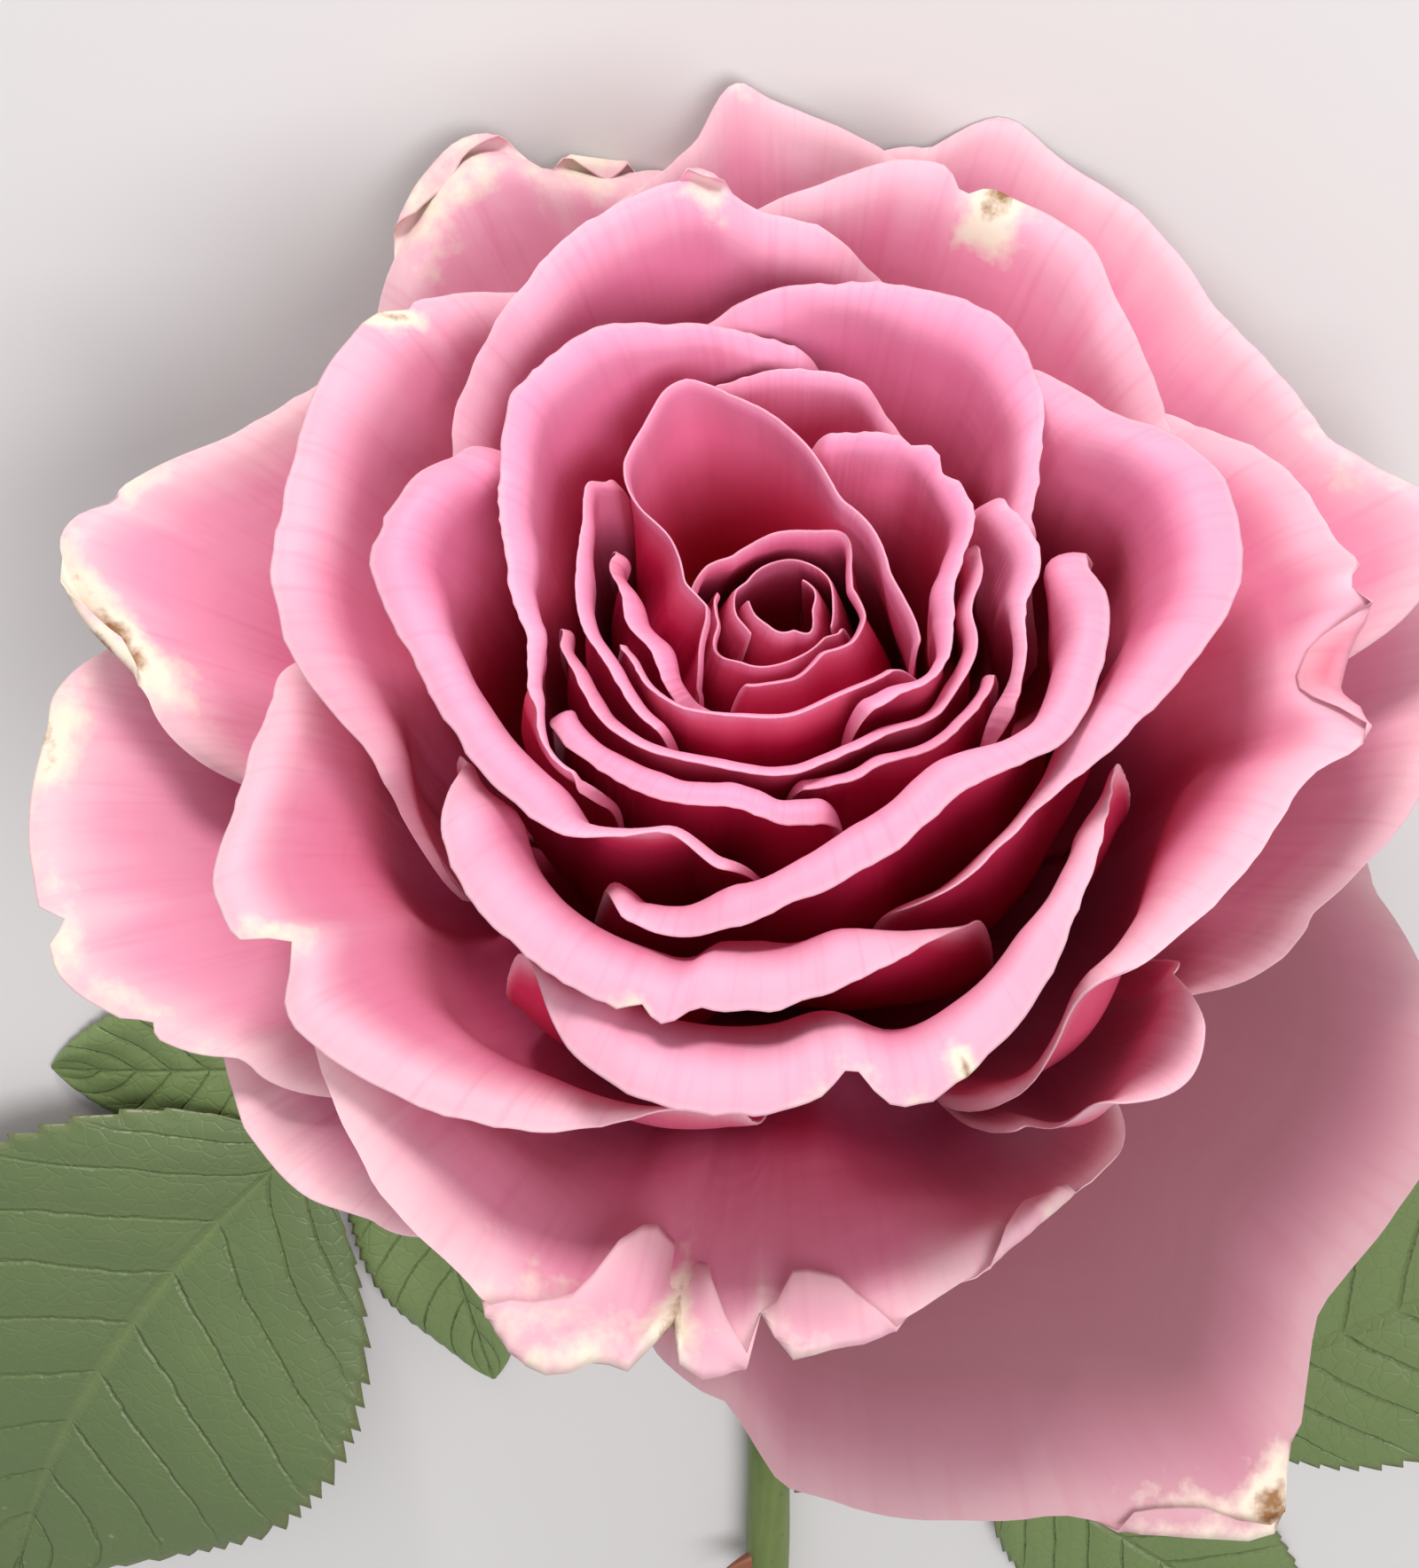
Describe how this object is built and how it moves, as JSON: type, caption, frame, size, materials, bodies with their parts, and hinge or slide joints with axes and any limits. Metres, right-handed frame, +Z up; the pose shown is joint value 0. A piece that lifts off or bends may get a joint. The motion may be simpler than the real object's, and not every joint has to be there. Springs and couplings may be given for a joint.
{
  "type": "rose flower",
  "caption": "A cut pink garden rose lying on its side: an open many-petalled bloom, a bent neck, a prickly stem and compound leaves.",
  "frame": {"origin": "the middle of the footprint on the table that the flower lies on, at table height", "axes": "+Z up from the table, +Y along the table from the bloom toward the cut end of the stem, +X to the side of leaf_1"},
  "size_m": [0.1994, 0.212, 0.0944],
  "materials": {
    "petal": "matt living petal, paler at the rims",
    "stem": "smooth waxy skin",
    "sepal": "matt living leaf",
    "leaf": "waxy living leaf",
    "stamen": "dusty pollen"
  },
  "bodies": {
    "root": {"guard_petal_1": "petal", "guard_petal_2": "petal", "guard_petal_3": "petal", "guard_petal_4": "petal", "guard_petal_5": "petal", "guard_petal_6": "petal", "heart_petal_1": "petal", "heart_petal_2": "petal", "heart_petal_3": "petal", "heart_petal_4": "petal", "inner_petal_1": "petal", "inner_petal_2": "petal", "inner_petal_3": "petal", "inner_petal_4": "petal", "inner_petal_5": "petal", "inner_petal_6": "petal", "inner_petal_7": "petal", "inner_petal_8": "petal", "leaf_1_left_leaflet": "leaf", "leaf_1_right_leaflet": "leaf", "leaf_1_stalk": "leaf", "leaf_1_terminal_leaflet": "leaf", "leaf_2_left_leaflet": "leaf", "leaf_2_right_leaflet": "leaf", "leaf_2_stalk": "leaf", "leaf_2_terminal_leaflet": "leaf", "middle_petal_1": "petal", "middle_petal_2": "petal", "middle_petal_3": "petal", "middle_petal_4": "petal", "middle_petal_5": "petal", "middle_petal_6": "petal", "middle_petal_7": "petal", "middle_petal_8": "petal", "middle_petal_9": "petal", "outer_petal_1": "petal", "outer_petal_2": "petal", "outer_petal_3": "petal", "outer_petal_4": "petal", "outer_petal_5": "petal", "outer_petal_6": "petal", "outer_petal_7": "petal", "outer_petal_8": "petal", "outer_petal_9": "petal", "sepal_1": "sepal", "sepal_2": "sepal", "sepal_3": "sepal", "sepal_4": "sepal", "sepal_5": "sepal", "stamens": "stamen", "stem": "stem"}
  },
  "joints": []
}
